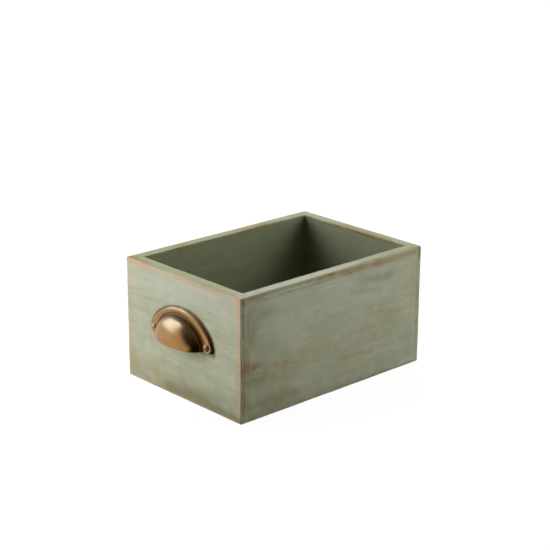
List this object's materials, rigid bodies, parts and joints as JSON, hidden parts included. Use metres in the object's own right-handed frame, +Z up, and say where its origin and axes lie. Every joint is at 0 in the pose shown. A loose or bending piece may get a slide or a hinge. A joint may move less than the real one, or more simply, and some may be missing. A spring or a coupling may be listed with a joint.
{
  "type": "drawer",
  "caption": "Small open-topped wooden display drawer with butted and nailed corners, a grooved bottom panel, worn sage-green paint and an antique brass cup pull.",
  "frame": {"origin": "middle of the whole footprint, pull included, at the level of the boards' lower edges", "axes": "+Z up; the front board with the pull faces -Y; +X is to the right when the front is looked at"},
  "size_m": [0.14, 0.2154, 0.1025],
  "materials": {
    "painted_wood": "brushed sage-green matt paint over wood, rubbed through along the edges",
    "plywood": "thin plywood, painted like the boards",
    "antique_brass": "aged brass, satin, darker in the hollows",
    "nickel_screw": "nickel-plated round-head screw",
    "brad_steel": "bright steel wire, head painted over"
  },
  "bodies": {
    "root": {"front_board": "painted_wood", "back_board": "painted_wood", "left_side_board": "painted_wood", "right_side_board": "painted_wood", "bottom_panel": "plywood", "cup_pull": "antique_brass", "pull_screw_left": "nickel_screw", "pull_screw_right": "nickel_screw", "front_left_brad_lower": "brad_steel", "front_left_brad_middle": "brad_steel", "front_left_brad_upper": "brad_steel", "front_right_brad_lower": "brad_steel", "front_right_brad_middle": "brad_steel", "front_right_brad_upper": "brad_steel", "back_left_brad_lower": "brad_steel", "back_left_brad_middle": "brad_steel", "back_left_brad_upper": "brad_steel", "back_right_brad_lower": "brad_steel", "back_right_brad_middle": "brad_steel", "back_right_brad_upper": "brad_steel"}
  },
  "joints": []
}
